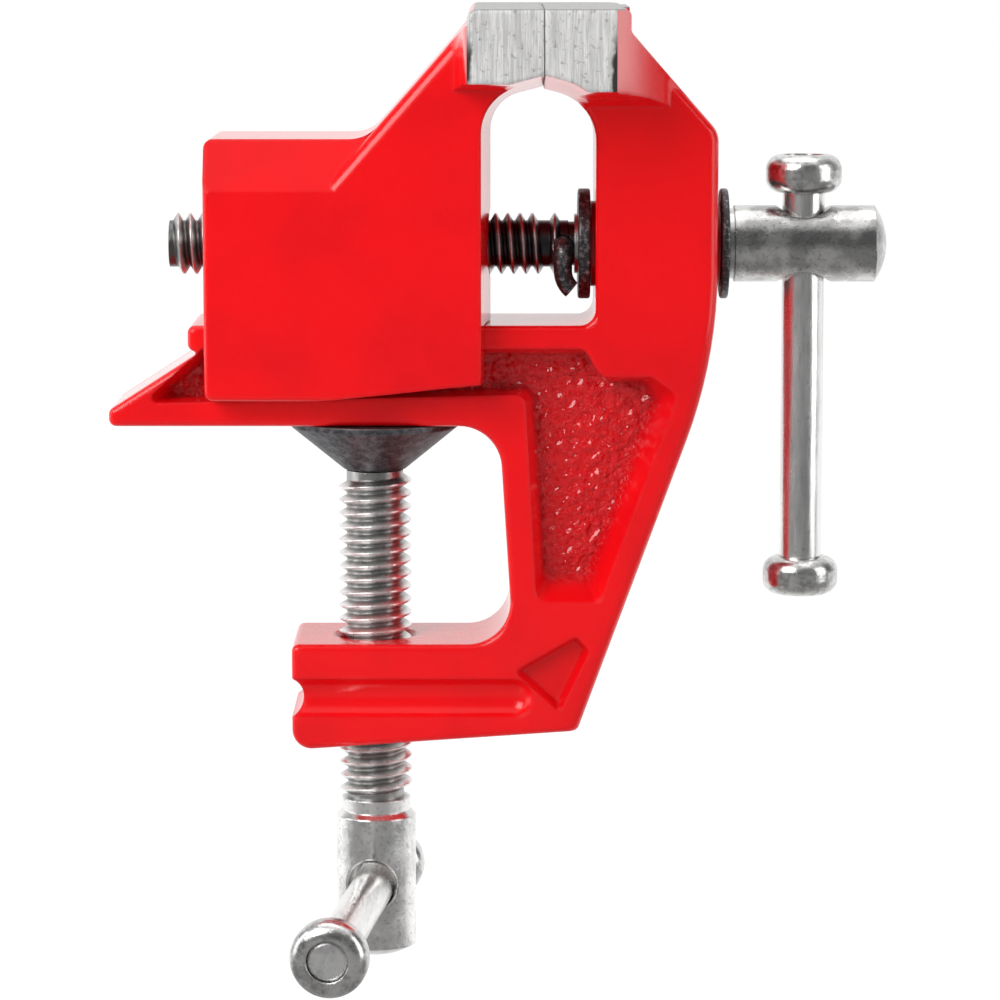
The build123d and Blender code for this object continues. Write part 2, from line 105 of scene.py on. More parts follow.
def between(tree, tone, limits):
    # from the first limit to the second as the tone goes from 0 to 1
    low, high = limits
    return calc(tree, "MULTIPLY_ADD", tone, high - low, low)


def mixColour(tree, factor, first, second):
    node = addNode(tree, "ShaderNodeMix", data_type="RGBA")
    feed(tree, node.inputs[0], factor)
    feed(tree, node.inputs[6], first)
    feed(tree, node.inputs[7], second)
    return node.outputs[2]


def mixValue(tree, factor, first, second):
    node = addNode(tree, "ShaderNodeMix", data_type="FLOAT")
    feed(tree, node.inputs[0], factor)
    feed(tree, node.inputs[2], first)
    feed(tree, node.inputs[3], second)
    return node.outputs[0]


def mixVector(tree, factor, first, second):
    node = addNode(tree, "ShaderNodeMix", data_type="VECTOR")
    feed(tree, node.inputs[0], factor)
    feed(tree, node.inputs[4], first)
    feed(tree, node.inputs[5], second)
    return node.outputs[1]


def objectPlace(tree):
    return addNode(tree, "ShaderNodeTexCoord").outputs["Object"]


def splitPlace(tree, coords):
    split = addNode(tree, "ShaderNodeSeparateXYZ")
    feed(tree, split.inputs[0], coords)
    return split.outputs["X"], split.outputs["Y"], split.outputs["Z"]


def stretched(tree, coords, scale):
    node = addNode(tree, "ShaderNodeMapping")
    feed(tree, node.inputs["Vector"], coords)
    node.inputs["Scale"].default_value = scale
    return node.outputs["Vector"]


def noise(tree, coords, scale, detail, rough):
    node = addNode(tree, "ShaderNodeTexNoise")
    feed(tree, node.inputs["Vector"], coords)
    feed(tree, node.inputs["Scale"], scale)
    feed(tree, node.inputs["Detail"], detail)
    feed(tree, node.inputs["Roughness"], rough)
    return node.outputs[0]


def bump(tree, height, distance, normal):
    node = addNode(tree, "ShaderNodeBump")
    feed(tree, node.inputs["Height"], height)
    feed(tree, node.inputs["Distance"], distance)
    feed(tree, node.inputs["Strength"], 1.0)
    feed(tree, node.inputs["Normal"], normal)
    return node.outputs[0]


def newGroup(name, inputs, outputs):
    tree = bpy.data.node_groups.new(name, "ShaderNodeTree")
    for label, kind, value in inputs:
        socket = tree.interface.new_socket(
            name=label, in_out="INPUT", socket_type="NodeSocket" + kind
        )
        if value is not None:
            socket.default_value = value
    for label, kind in outputs:
        tree.interface.new_socket(
            name=label, in_out="OUTPUT", socket_type="NodeSocket" + kind
        )
    given = addNode(tree, "NodeGroupInput").outputs
    result = addNode(tree, "NodeGroupOutput").inputs
    return tree, given, result


def useGroup(tree, group, **values):
    node = addNode(tree, "ShaderNodeGroup", node_tree=group)
    for label, value in values.items():
        feed(tree, node.inputs[label], value)
    return node.outputs


# effects that several finishes share

effects = {
    "edgeTurn": (0.985, 0.85),
    "poreShare": 0.25,
    "toneScale": 0.35,
    "broadScale": 0.3,
    "speckCut": 0.75,
    "speckSharpness": 9.0,
}


def makeSoftEdge():
    # rounds the shading over an edge and says where outer edges are
    tree, given, result = newGroup(
        "softEdge",
        [("Radius", "Float", 0.001)],
        [("Normal", "Vector"), ("Edge", "Float")],
    )
    bevel = addNode(tree, "ShaderNodeBevel", samples=4)
    feed(tree, bevel.inputs["Radius"], given["Radius"])
    flat = addNode(tree, "ShaderNodeNewGeometry").outputs["Normal"]
    dot = addNode(tree, "ShaderNodeVectorMath", operation="DOT_PRODUCT")
    feed(tree, dot.inputs[0], bevel.outputs[0])
    feed(tree, dot.inputs[1], flat)
    feed(tree, result["Normal"], bevel.outputs[0])
    feed(tree, result["Edge"], ramp(tree, dot.outputs["Value"], *effects["edgeTurn"]))
    return tree


def makeCastSkin():
    # the low waves and fine pores of a sand casting, under paint or bare
    tree, given, result = newGroup(
        "castSkin",
        [("Place", "Vector", None), ("Waves", "Float", 90.0), ("Pores", "Float", 900.0)],
        [("Height", "Float"), ("Tone", "Float")],
    )
    waves = noise(tree, given["Place"], given["Waves"], 3.0, 0.55)
    pores = noise(tree, given["Place"], given["Pores"], 2.0, 0.6)
    toneScale = calc(tree, "MULTIPLY", given["Waves"], effects["toneScale"])
    tone = noise(tree, given["Place"], toneScale, 4.0, 0.6)
    feed(tree, result["Height"], calc(tree, "MULTIPLY_ADD", pores, effects["poreShare"], waves))
    feed(tree, result["Tone"], tone)
    return tree


def makeToolMarks():
    # fine scratches, which run along one axis where the place is stretched
    tree, given, result = newGroup(
        "toolMarks",
        [("Place", "Vector", None), ("Count", "Float", 1500.0)],
        [("Height", "Float"), ("Tone", "Float")],
    )
    fine = noise(tree, given["Place"], given["Count"], 3.0, 0.7)
    broadScale = calc(tree, "MULTIPLY", given["Count"], effects["broadScale"])
    broad = noise(tree, given["Place"], broadScale, 2.0, 0.6)
    halfFine = calc(tree, "MULTIPLY", fine, 0.5)
    feed(tree, result["Height"], fine)
    feed(tree, result["Tone"], calc(tree, "MULTIPLY_ADD", broad, 0.5, halfFine))
    return tree


def makeSpecks():
    # small dark flecks where dirt and pits lie
    tree, given, result = newGroup(
        "specks",
        [("Place", "Vector", None), ("Count", "Float", 700.0), ("Share", "Float", 0.3)],
        [("Mask", "Float")],
    )
    spots = noise(tree, given["Place"], given["Count"], 3.0, 0.7)
    halfShare = calc(tree, "MULTIPLY", given["Share"], 0.5)
    over = calc(tree, "SUBTRACT", spots, calc(tree, "SUBTRACT", effects["speckCut"], halfShare))
    mask = calc(tree, "MULTIPLY", over, effects["speckSharpness"], clamp=True)
    feed(tree, result["Mask"], mask)
    return tree


softEdge = makeSoftEdge()
castSkin = makeCastSkin()
toolMarks = makeToolMarks()
specks = makeSpecks()


def newFinish(name):
    finish = bpy.data.materials.new(name)
    finish.use_nodes = True
    tree = finish.node_tree
    tree.nodes.clear()
    shader = addNode(tree, "ShaderNodeBsdfPrincipled")
    output = addNode(tree, "ShaderNodeOutputMaterial")
    tree.links.new(shader.outputs[0], output.inputs["Surface"])
    return finish, tree, shader.inputs


def wear(finish, *names):
    # puts a finish on CAD nodes, on their own slots
    for name in names:
        for slot in nodes[name].material_slots:
            slot.material = finish


# castings: glossy red paint, with the jaws' ground steel left bare

castings = {
    "paint": (0.84, 0.003, 0.006, 1),
    # painted shade: this darker paint darkens the web's recess; it also carries random mottle and
    # painted dark reflections
    "mottledAndShadedPaint": (0.50, 0.002, 0.008, 1),
    # a lighter paint, put on outer edges as a painted highlight
    "edgeHighlightPaint": (0.86, 0.010, 0.016, 1),
    "edgeRadius": 0.0011,
    "edgeHighlightShare": 0.6,
    "waves": 75.0,
    "pores": 620.0,
    # darker blotches are painted dark reflections on the glossy paint
    "reflectionBlotches": 62.0,
    "reflectionBlotchTones": (0.42, 0.72),
    "reflectionBlotchShare": 0.24,
    "skinTones": (0.4, 0.7),
    "skinShare": 0.16,
    "webShadeShare": 0.38,
    "paintRough": (0.14, 0.26),
    "coatRough": 0.08,
    "specular": 0.15,
    "paintBump": 0.00016,
    "floorBump": 0.0013,
    "floorLumps": 900.0,
    "steel": (0.92, 0.915, 0.905, 1),
    "steelDark": (0.64, 0.635, 0.63, 1),
    # a darker copy of the ground steel, put on the jaws' top faces as painted shade
    "steelTopShade": (0.44, 0.435, 0.43, 1),
    "steelTones": (0.38, 0.62),
    "steelTopShadeShare": 0.9,
    "steelMetal": 0.5,
    "steelRough": (0.30, 0.60),
    "steelBump": 0.00009,
    "markStretch": (1.0, 1.0, 0.06),
    "markCount": 4300.0,
    "pitCount": 900.0,
    "pitAmount": 0.35,
    "pitShare": 0.5,
    "scaleColour": (0.045, 0.04, 0.038, 1),
    "scaleRagged": 0.0022,
}

# where the ground faces, the dark rim and the web begin and end, in metres
castPlaces = {
    "jawEnd": (0.02977, 0.02985),
    "jawTop": (0.06742, 0.06752),
    "gripReach": (0.00012, 0.00006),
    "gripFoot": (0.0545, 0.0550),
    "rimReach": (0.0009, 0.0003),
    "rimTop": (0.0665, 0.0600),
    "webReach": (0.0032, 0.0008),
    "webTop": (0.0135, 0.0115),
    "webFoot": (-0.0320, -0.0280),
    "frame": {"faceX": 0.0277, "outerX": 0.0389, "webHalf": 0.0060},
    # the moving jaw has no web, so its half width is out of reach
    "jaw": {"faceX": 0.02755, "outerX": 0.0155, "webHalf": -0.0100},
}


def makeCastPaint(name, faceX, outerX, webHalf):
    look, at = castings, castPlaces
    finish, tree, shader = newFinish(name)
    coords = objectPlace(tree)
    x, y, z = splitPlace(tree, coords)
    away = calc(tree, "ABSOLUTE", y)
    edge = useGroup(tree, softEdge, Radius=look["edgeRadius"])
    skin = useGroup(tree, castSkin, Place=coords, Waves=look["waves"], Pores=look["pores"])
    upright = stretched(tree, coords, look["markStretch"])
    marks = useGroup(tree, toolMarks, Place=upright, Count=look["markCount"])
    pits = useGroup(tree, specks, Place=coords, Count=look["pitCount"], Share=look["pitAmount"])

    # bare steel: the two ends, the top and the gripping face of the jaw
    ends = ramp(tree, away, *at["jawEnd"])
    top = ramp(tree, z, *at["jawTop"])
    fromFace = calc(tree, "ABSOLUTE", calc(tree, "SUBTRACT", x, faceX))
    grip = ramp(tree, fromFace, *at["gripReach"])
    grip = calc(tree, "MULTIPLY", grip, ramp(tree, z, *at["gripFoot"]))
    bare = calc(tree, "MAXIMUM", calc(tree, "MAXIMUM", ends, top), grip)
    painted = calc(tree, "SUBTRACT", 1.0, bare)

    # a dark cast rim stays where the grinding didn't reach
    wander = calc(tree, "SUBTRACT", noise(tree, coords, 260.0, 3.0, 0.6), 0.5)
    ragged = calc(tree, "MULTIPLY", wander, look["scaleRagged"])
    fromOuter = calc(tree, "ABSOLUTE", calc(tree, "SUBTRACT", x, outerX))
    rim = ramp(tree, calc(tree, "ADD", fromOuter, ragged), *at["rimReach"])
    rim = calc(tree, "MULTIPLY", rim, ramp(tree, z, *at["rimTop"]))

    # the web lies deep between the rims, and is painted darker there as painted shade
    near, far = at["webReach"]
    inner = ramp(tree, away, webHalf + near, webHalf + far)
    inner = calc(tree, "MULTIPLY", inner, ramp(tree, z, *at["webTop"]))
    inner = calc(tree, "MULTIPLY", inner, ramp(tree, z, *at["webFoot"]))

    # paint: colour
    # painted reflection: darker blotches where the paint would mirror dark surroundings
    reflectionCloud = noise(tree, coords, look["reflectionBlotches"], 3.0, 0.45)
    paintedReflection = ramp(tree, reflectionCloud, *look["reflectionBlotchTones"])
    mottle = ramp(tree, skin["Tone"], *look["skinTones"])
    mottle = calc(tree, "MULTIPLY", mottle, look["skinShare"])
    tone = calc(tree, "MULTIPLY_ADD", paintedReflection, look["reflectionBlotchShare"], mottle)
    # painted shade: the web's recess is painted darker
    tone = calc(tree, "MULTIPLY_ADD", inner, look["webShadeShare"], tone, clamp=True)
    paint = mixColour(tree, tone, look["paint"], look["mottledAndShadedPaint"])
    # painted highlight: outer edges are painted in the lighter paint
    thin = calc(tree, "MULTIPLY", edge["Edge"], look["edgeHighlightShare"])
    paint = mixColour(tree, thin, paint, look["edgeHighlightPaint"])

    # bare steel: colour
    grain = ramp(tree, marks["Tone"], *look["steelTones"])
    steel = mixColour(tree, grain, look["steelDark"], look["steel"])
    # painted shade: the jaws' top faces get the darker copy of the steel
    topShade = calc(tree, "MULTIPLY", top, look["steelTopShadeShare"])
    steel = mixColour(tree, topShade, steel, look["steelTopShade"])
    pitted = calc(tree, "MULTIPLY", pits["Mask"], look["pitShare"])
    steel = mixColour(tree, pitted, steel, look["scaleColour"])
    steel = mixColour(tree, rim, steel, look["scaleColour"])
    feed(tree, shader["Base Color"], mixColour(tree, bare, paint, steel))

    # gloss
    clean = calc(tree, "SUBTRACT", look["steelMetal"], calc(tree, "MULTIPLY", rim, 0.3))
    feed(tree, shader["Metallic"], calc(tree, "MULTIPLY", bare, clean))
    paintRough = between(tree, skin["Tone"], look["paintRough"])
    steelRough = between(tree, marks["Tone"], look["steelRough"])
    feed(tree, shader["Roughness"], mixValue(tree, bare, paintRough, steelRough))
    coat = calc(tree, "MULTIPLY_ADD", inner, 0.5, 0.5)
    feed(tree, shader["Coat Weight"], calc(tree, "MULTIPLY", painted, coat))
    shader["Coat Roughness"].default_value = look["coatRough"]
    shader["Specular IOR Level"].default_value = look["specular"]

    # the web's floor is rough from the sand, and the rims are smooth
    distance = mixValue(tree, inner, look["paintBump"], look["floorBump"])
    lumps = noise(tree, coords, look["floorLumps"], 2.5, 0.5)
    lowSkin = calc(tree, "MULTIPLY", skin["Height"], 0.3)
    lumpy = calc(tree, "MULTIPLY_ADD", lumps, 0.8, lowSkin)
    height = mixValue(tree, inner, skin["Height"], lumpy)
    paintNormal = bump(tree, height, distance, edge["Normal"])
    steelNormal = bump(tree, marks["Height"], look["steelBump"], edge["Normal"])
    feed(tree, shader["Normal"], mixVector(tree, bare, paintNormal, steelNormal))
    return finish


framePaint = makeCastPaint("frameCastPaint", **castPlaces["frame"])
wear(framePaint, "frame_casting")
wear(makeCastPaint("jawCastPaint", **castPlaces["jaw"]), "moving_jaw")
print("castings painted")


# steps that all modelled pieces share

def deselectAll():
    bpy.ops.object.select_all(action="DESELECT")


def selectOnly(piece):
    deselectAll()
    bpy.context.view_layer.objects.active = piece
    piece.select_set(True)


def settle():
    # the selected objects end at the origin, unturned and unscaled
    bpy.ops.object.transform_apply(location=True, rotation=True, scale=True)


def enterEdit(piece):
    selectOnly(piece)
    bpy.ops.object.mode_set(mode="EDIT")
    bpy.ops.mesh.select_mode(type="VERT")
    bpy.ops.mesh.select_all(action="SELECT")


def leaveEdit():
    bpy.ops.object.mode_set(mode="OBJECT")


def selectWhere(piece, test):
    # leaves only the vertices whose place passes the test selected, and counts them
    bpy.ops.mesh.select_all(action="DESELECT")
    leaveEdit()
    chosen = [vertex for vertex in piece.data.vertices if test(vertex.co)]
    for vertex in chosen:
        vertex.select = True
    bpy.ops.object.mode_set(mode="EDIT")
    return len(chosen)


# web floors: the rough sand-cast skin at the bottom of the frame's recesses

webFloor = {
    "height": 0.0062,
    "gussetLift": -0.00005,
    "cell": 0.00030,
    "margin": 0.002,
    "overlap": 0.0012,
    "lump": 0.0010,
    "lumpSize": 0.0016,
    "grain": 0.0005,
    "grainSize": 0.0007,
    "thick": 0.0010,
    "smoothAngle": 60,
    "column": (
        (0.02815, -0.0247), (0.0348, -0.0247), (0.0451, 0.0036), (0.0438, 0.0065), (0.0263, 0.0065),
    ),
    "gusset": ((-0.0341, 0.0046), (0.0263, 0.0058), (0.0351, 0.0111), (-0.0261, 0.0111)),
}


def roughen(sheet, label, strength, grainSize):
    clouds = bpy.data.textures.new(label, "CLOUDS")
    clouds.noise_scale = grainSize
    clouds.noise_depth = 1
    push = sheet.modifiers.new(label, "DISPLACE")
    push.texture = clouds
    push.texture_coords = "LOCAL"
    push.direction = "Y"
    push.strength = strength
    bpy.ops.object.modifier_apply(modifier=label)
    bpy.data.textures.remove(clouds)


def buildWebFloor(name, corners, side, lift):
    # a rough sheet, cut to the recess's outline, whose corners run anticlockwise
    size = webFloor
    lowX = min(x for x, z in corners) - size["margin"]
    highX = max(x for x, z in corners) + size["margin"]
    lowZ = min(z for x, z in corners) - size["margin"]
    highZ = max(z for x, z in corners) + size["margin"]
    deselectAll()
    bpy.ops.mesh.primitive_grid_add(
        x_subdivisions=int((highX - lowX) / size["cell"]),
        y_subdivisions=int((highZ - lowZ) / size["cell"]),
        size=1.0, rotation=(radians(90), 0, 0),
        location=((lowX + highX) / 2, side * (size["height"] + lift), (lowZ + highZ) / 2),
    )
    floor = bpy.context.active_object
    floor.name = name
    floor.scale = (highX - lowX, highZ - lowZ, 1)
    settle()
    enterEdit(floor)
    for (x0, z0), (x1, z1) in zip(corners, corners[1:] + corners[:1]):
        out = Vector((z1 - z0, 0, x0 - x1)).normalized()
        place = Vector((x0, 0, z0)) + out * size["overlap"]
        bpy.ops.mesh.select_all(action="SELECT")
        bpy.ops.mesh.bisect(plane_co=place, plane_no=out, clear_outer=True)
    bpy.ops.mesh.select_all(action="SELECT")
    if side > 0:
        bpy.ops.mesh.flip_normals()
    leaveEdit()
    roughen(floor, "lump", size["lump"], size["lumpSize"])
    roughen(floor, "grain", size["grain"], size["grainSize"])
    back = floor.modifiers.new("back", "SOLIDIFY")
    back.thickness = size["thick"]
    back.offset = -1.0
    bpy.ops.object.modifier_apply(modifier="back")
    bpy.ops.object.shade_smooth_by_angle(angle=radians(size["smoothAngle"]))
    floor.data.materials.append(framePaint)
    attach(floor, "frame")


for side, sideName in ((-1, "front"), (1, "back")):
    buildWebFloor(sideName + "ColumnFloor", webFloor["column"], side, 0.0)
    buildWebFloor(sideName + "GussetFloor", webFloor["gusset"], side, webFloor["gussetLift"])
print("web floors cast")


# screws: rolled threads, dark in the middle of the lead screw, and plated barrels

screws = {
    # the root colours are painted shade for the threads' grooves; the first also colours dirt
    # flecks
    "darkRootShadeAndFleck": (0.050, 0.050, 0.053, 1),
    "darkCrest": (0.56, 0.56, 0.57, 1),
    "leadRoot": (0.14, 0.138, 0.135, 1),
    "leadCrest": (0.60, 0.595, 0.585, 1),
    "leadPlate": (0.70, 0.695, 0.68, 1),
    "leadPlateDull": (0.44, 0.435, 0.43, 1),
    "clampRoot": (0.42, 0.417, 0.41, 1),
    "clampCrest": (0.95, 0.945, 0.935, 1),
    "clampPlate": (0.95, 0.945, 0.935, 1),
    "clampPlateDull": (0.74, 0.735, 0.725, 1),
    "threadRough": (0.20, 0.45),
    "plateRough": (0.12, 0.34),
    "plateTones": (0.4, 0.62),
    "edgeRadius": 0.0003,
    "waves": 700.0,
    "pores": 3200.0,
    "bump": 0.00006,
    "wander": 0.0006,
    "fleckCount": 1400.0,
    "fleckAmount": 0.4,
    "fleckShare": 0.35,
    "darkBlend": 0.001,
    "plateBlend": 0.0002,
}

# the section of both threads, in shares of the pitch, and how the copy is made
threadForm = {
    "depthShare": 0.6,
    "halfCrestShare": 0.0625,
    "flankAngle": 30,
    "sunk": 0.0001,
    "steps": 40,
    "coreSides": 72,
    "chamfer": 0.0013,
    "chamferSteps": 13,
    "smoothAngle": 32,
}

# lengths run along the screw's own axis; dark and plate say from where to where
leadThread = {
    "kind": "lead",
    "radius": 0.0050,
    "pitch": 0.0020,
    "length": 0.0620,
    "centreZ": 0.0289,
    "dark": (-0.020, 0.058),
    "plate": (0.0576, 0.090),
}

clampThread = {
    "kind": "clamp",
    "radius": 0.0060,
    "pitch": 0.0022,
    "length": 0.0549,
    "footZ": -0.06335,
    # past the screw's end, since none of it is dark
    "dark": (0.5, 0.6),
    "plate": (-0.095, -0.0655),
}


def makeScrewSteel(name, size):
    look, kind = screws, size["kind"]
    finish, tree, shader = newFinish(name)
    coords = objectPlace(tree)
    x, y, z = splitPlace(tree, coords)
    if kind == "lead":
        run, side = x, calc(tree, "SUBTRACT", z, size["centreZ"])
    else:
        run, side = z, x
    squares = calc(tree, "ADD", calc(tree, "MULTIPLY", y, y), calc(tree, "MULTIPLY", side, side))
    radial = calc(tree, "SQRT", squares)
    edge = useGroup(tree, softEdge, Radius=look["edgeRadius"])
    grain = useGroup(tree, castSkin, Place=coords, Waves=look["waves"], Pores=look["pores"])
    dirt = useGroup(
        tree, specks, Place=coords, Count=look["fleckCount"], Share=look["fleckAmount"]
    )

    # crests bright and roots painted dark, as painted shade in the thread's grooves
    depth = threadForm["depthShare"] * size["pitch"]
    wander = calc(tree, "SUBTRACT", noise(tree, coords, 500.0, 2.0, 0.6), 0.5)
    wander = calc(tree, "MULTIPLY", wander, look["wander"])
    reach = calc(tree, "ADD", radial, wander)
    rise = ramp(tree, reach, size["radius"] - depth, size["radius"] - threadForm["sunk"])
    dark = mixColour(tree, rise, look["darkRootShadeAndFleck"], look["darkCrest"])
    bright = mixColour(tree, rise, look[kind + "Root"], look[kind + "Crest"])
    inDark = within(tree, run, size["dark"], look["darkBlend"])
    thread = mixColour(tree, inDark, bright, dark)

    plateTone = ramp(tree, grain["Tone"], *look["plateTones"])
    plate = mixColour(tree, plateTone, look[kind + "PlateDull"], look[kind + "Plate"])
    inPlate = within(tree, run, size["plate"], look["plateBlend"])
    colour = mixColour(tree, inPlate, thread, plate)
    fleck = calc(tree, "MULTIPLY", dirt["Mask"], look["fleckShare"])
    feed(tree, shader["Base Color"], mixColour(tree, fleck, colour, look["darkRootShadeAndFleck"]))
    shader["Metallic"].default_value = 1.0
    threadRough = between(tree, grain["Tone"], look["threadRough"])
    plateRough = between(tree, grain["Tone"], look["plateRough"])
    feed(tree, shader["Roughness"], mixValue(tree, inPlate, threadRough, plateRough))
    feed(tree, shader["Normal"], bump(tree, grain["Height"], look["bump"], edge["Normal"]))
    return finish


def copyStretch(node, axis, place, side):
    # the plain part of a screw beyond one place on its axis, as a closed mesh
    piece = nodes[node].copy()
    piece.data = nodes[node].data.copy()
    piece.parent = None
    for key in [key for key in piece.keys() if key.startswith("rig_")]:
        del piece[key]
    bpy.context.scene.collection.objects.link(piece)
    enterEdit(piece)
    bpy.ops.mesh.customdata_custom_splitnormals_clear()
    bpy.ops.mesh.remove_doubles(threshold=0.000001)
    at, normal = [0, 0, 0], [0, 0, 0]
    at[axis], normal[axis] = place, side
    bpy.ops.mesh.bisect(plane_co=at, plane_no=normal, use_fill=True, clear_inner=True)
    leaveEdit()
    return piece


def windRidge(outer, pitch, length, depth):
    # the ridge's section, narrowed at its crest, is wound up along Z
    sunk = threadForm["sunk"]
    crest = threadForm["halfCrestShare"] * pitch
    foot = crest + (depth + sunk) * tan(radians(threadForm["flankAngle"]))
    deselectAll()
    bpy.ops.mesh.primitive_plane_add(
        size=1.0, location=(outer - (depth + sunk) / 2, 0, foot), rotation=(radians(90), 0, 0)
    )
    ridge = bpy.context.active_object
    ridge.scale = (depth + sunk, 2 * foot, 1)
    settle()
    enterEdit(ridge)
    bpy.ops.mesh.delete(type="ONLY_FACE")
    selectWhere(ridge, lambda place: place.x > outer - sunk)
    bpy.ops.transform.resize(value=(1, 1, crest / foot), center_override=(outer, 0, foot))
    leaveEdit()
    turns = ridge.modifiers.new("turns", "SCREW")
    turns.axis = "Z"
    turns.angle = radians(360)
    turns.screw_offset = pitch
    turns.iterations = int((length - 2 * foot) / pitch)
    turns.steps = turns.render_steps = threadForm["steps"]
    bpy.ops.object.modifier_apply(modifier="turns")
    enterEdit(ridge)
    bpy.ops.mesh.fill_holes(sides=4)
    bpy.ops.mesh.normals_make_consistent(inside=False)
    leaveEdit()
    # both ends of the ridge lie at the back
    ridge.rotation_euler.z = radians(90)
    settle()
    return ridge


def windThread(size, chamferAtTop):
    # a threaded rod that stands on the origin, up along Z
    outer, pitch, length = size["radius"], size["pitch"], size["length"]
    depth = threadForm["depthShare"] * pitch
    ridge = windRidge(outer, pitch, length, depth)
    deselectAll()
    bpy.ops.mesh.primitive_cylinder_add(
        vertices=threadForm["coreSides"], radius=outer - depth, depth=length,
        location=(0, 0, length / 2),
    )
    rod = bpy.context.active_object
    settle()
    ridge.select_set(True)
    bpy.ops.object.join()

    # the cone that the turning tool leaves on the free end
    tip = length if chamferAtTop else 0.0
    chamfer, count = threadForm["chamfer"], threadForm["chamferSteps"]
    stripe = chamfer / count
    ridgeFrom = outer - depth + threadForm["sunk"]
    enterEdit(rod)
    for step in range(count):
        near, far = step * stripe, (step + 1) * stripe
        onCrest = selectWhere(rod, lambda place: (
            near <= abs(place.z - tip) < far and hypot(place.x, place.y) > ridgeFrom
        ))
        if onCrest:
            keep = (outer - chamfer + far) / outer
            bpy.ops.transform.resize(value=(keep, keep, 1), center_override=(0, 0, 0))
    leaveEdit()
    return rod


def finishScrew(name, node, body, parts, finish):
    selectOnly(parts[0])
    for part in parts:
        part.select_set(True)
    screw = parts[0]
    bpy.ops.object.join()
    settle()
    bpy.ops.object.shade_smooth_by_angle(angle=radians(threadForm["smoothAngle"]))
    screw.name = name
    screw.data.materials.clear()
    screw.data.materials.append(finish)
    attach(screw, body)
    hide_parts(node)


def buildLeadScrew():
    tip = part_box("lead_screw")[0].x
    rod = windThread(leadThread, False)
    rod.rotation_euler.y = radians(90)
    rod.location = (tip, 0, leadThread["centreZ"])
    selectOnly(rod)
    settle()
    shank = copyStretch("lead_screw", 0, tip + leadThread["length"], 1)
    finish = makeScrewSteel("leadScrewSteel", leadThread)
    finishScrew("leadScrew", "lead_screw", "lead_screw", [rod, shank], finish)


def buildClampScrew():
    foot = clampThread["footZ"]
    rod = windThread(clampThread, True)
    rod.location = (0, 0, foot)
    selectOnly(rod)
    settle()
    barrel = copyStretch("clamp_screw", 2, foot, -1)
    spigot = copyStretch("clamp_screw", 2, foot + clampThread["length"], 1)
    finish = makeScrewSteel("clampScrewSteel", clampThread)
    finishScrew(
        "clampScrew", "clamp_screw", "clamp_screw",
        [rod, barrel, spigot], finish,
    )


buildLeadScrew()
buildClampScrew()
print("screws wound and finished")


# washers, split pin and pad: blackened and dull steel

darkParts = {
    "edgeRadius": 0.0004,
    "black": (0.055, 0.055, 0.058, 1),
    "worn": (0.58, 0.58, 0.585, 1),
    "blackMetal": 0.9,
    "blackRough": (0.27, 0.57),
    "blackWaves": 900.0,
    "blackPores": 3500.0,
    "blackBump": 0.00008,
    "rubbedTones": (0.35, 0.6),
    "scuffs": 1300.0,
    "scuffTones": (0.48, 0.7),
    "scuffShare": 0.5,
    "padDark": (0.060, 0.060, 0.066, 1),
    "padLight": (0.165, 0.165, 0.175, 1),
    "padEdge": (0.34, 0.34, 0.35, 1),
    "padEdgeShare": 0.7,
    "padMetal": 0.85,
    "padRough": (0.35, 0.65),
    "padWaves": 420.0,
    "padPores": 2600.0,
    "padBump": 0.00011,
    "padMottle": 800.0,
    "padTones": (0.40, 0.66),
}


def makeBlackSteel():
    look = darkParts
    finish, tree, shader = newFinish("blackenedSteel")
    coords = objectPlace(tree)
    edge = useGroup(tree, softEdge, Radius=look["edgeRadius"])
    grain = useGroup(
        tree, castSkin, Place=coords, Waves=look["blackWaves"], Pores=look["blackPores"]
    )
    tone = ramp(tree, grain["Tone"], *look["rubbedTones"])
    rubbed = calc(tree, "MULTIPLY", edge["Edge"], tone)
    scuff = ramp(tree, noise(tree, coords, look["scuffs"], 4.0, 0.75), *look["scuffTones"])
    worn = calc(tree, "MAXIMUM", rubbed, calc(tree, "MULTIPLY", scuff, look["scuffShare"]))
    feed(tree, shader["Base Color"], mixColour(tree, worn, look["black"], look["worn"]))
    shader["Metallic"].default_value = look["blackMetal"]
    feed(tree, shader["Roughness"], between(tree, grain["Tone"], look["blackRough"]))
    feed(tree, shader["Normal"], bump(tree, grain["Height"], look["blackBump"], edge["Normal"]))
    return finish


def makePadSteel():
    look = darkParts
    finish, tree, shader = newFinish("padSteel")
    coords = objectPlace(tree)
    edge = useGroup(tree, softEdge, Radius=look["edgeRadius"])
    grain = useGroup(tree, castSkin, Place=coords, Waves=look["padWaves"], Pores=look["padPores"])
    mottle = ramp(tree, noise(tree, coords, look["padMottle"], 5.0, 0.75), *look["padTones"])
    colour = mixColour(tree, mottle, look["padDark"], look["padLight"])
    rubbed = calc(tree, "MULTIPLY", edge["Edge"], look["padEdgeShare"])
    feed(tree, shader["Base Color"], mixColour(tree, rubbed, colour, look["padEdge"]))
    shader["Metallic"].default_value = look["padMetal"]
    feed(tree, shader["Roughness"], between(tree, grain["Tone"], look["padRough"]))
    feed(tree, shader["Normal"], bump(tree, grain["Height"], look["padBump"], edge["Normal"]))
    return finish


wear(makeBlackSteel(), "inner_washer", "outer_washer", "split_pin")
wear(makePadSteel(), "clamp_pad")
print("dark parts finished")


# handle bars and knobs: bright plated steel

plating = {
    "edgeRadius": 0.0004,
    "tones": (0.36, 0.60),
    "dirt": (0.10, 0.10, 0.10, 1),
    "dirtCount": 1100.0,
    "dirtAmount": 0.25,
    "dirtShare": 0.4,
    "bump": 0.00004,
}

barSteel = {
    "bright": (0.93, 0.925, 0.915, 1),
    "shade": (0.68, 0.675, 0.67, 1),
    "rough": (0.16, 0.36),
    "markCount": 900.0,
}

knobSteel = {
    "bright": (0.76, 0.755, 0.745, 1),
    "shade": (0.42, 0.417, 0.41, 1),
    "rough": (0.14, 0.34),
    "markCount": 1100.0,
}


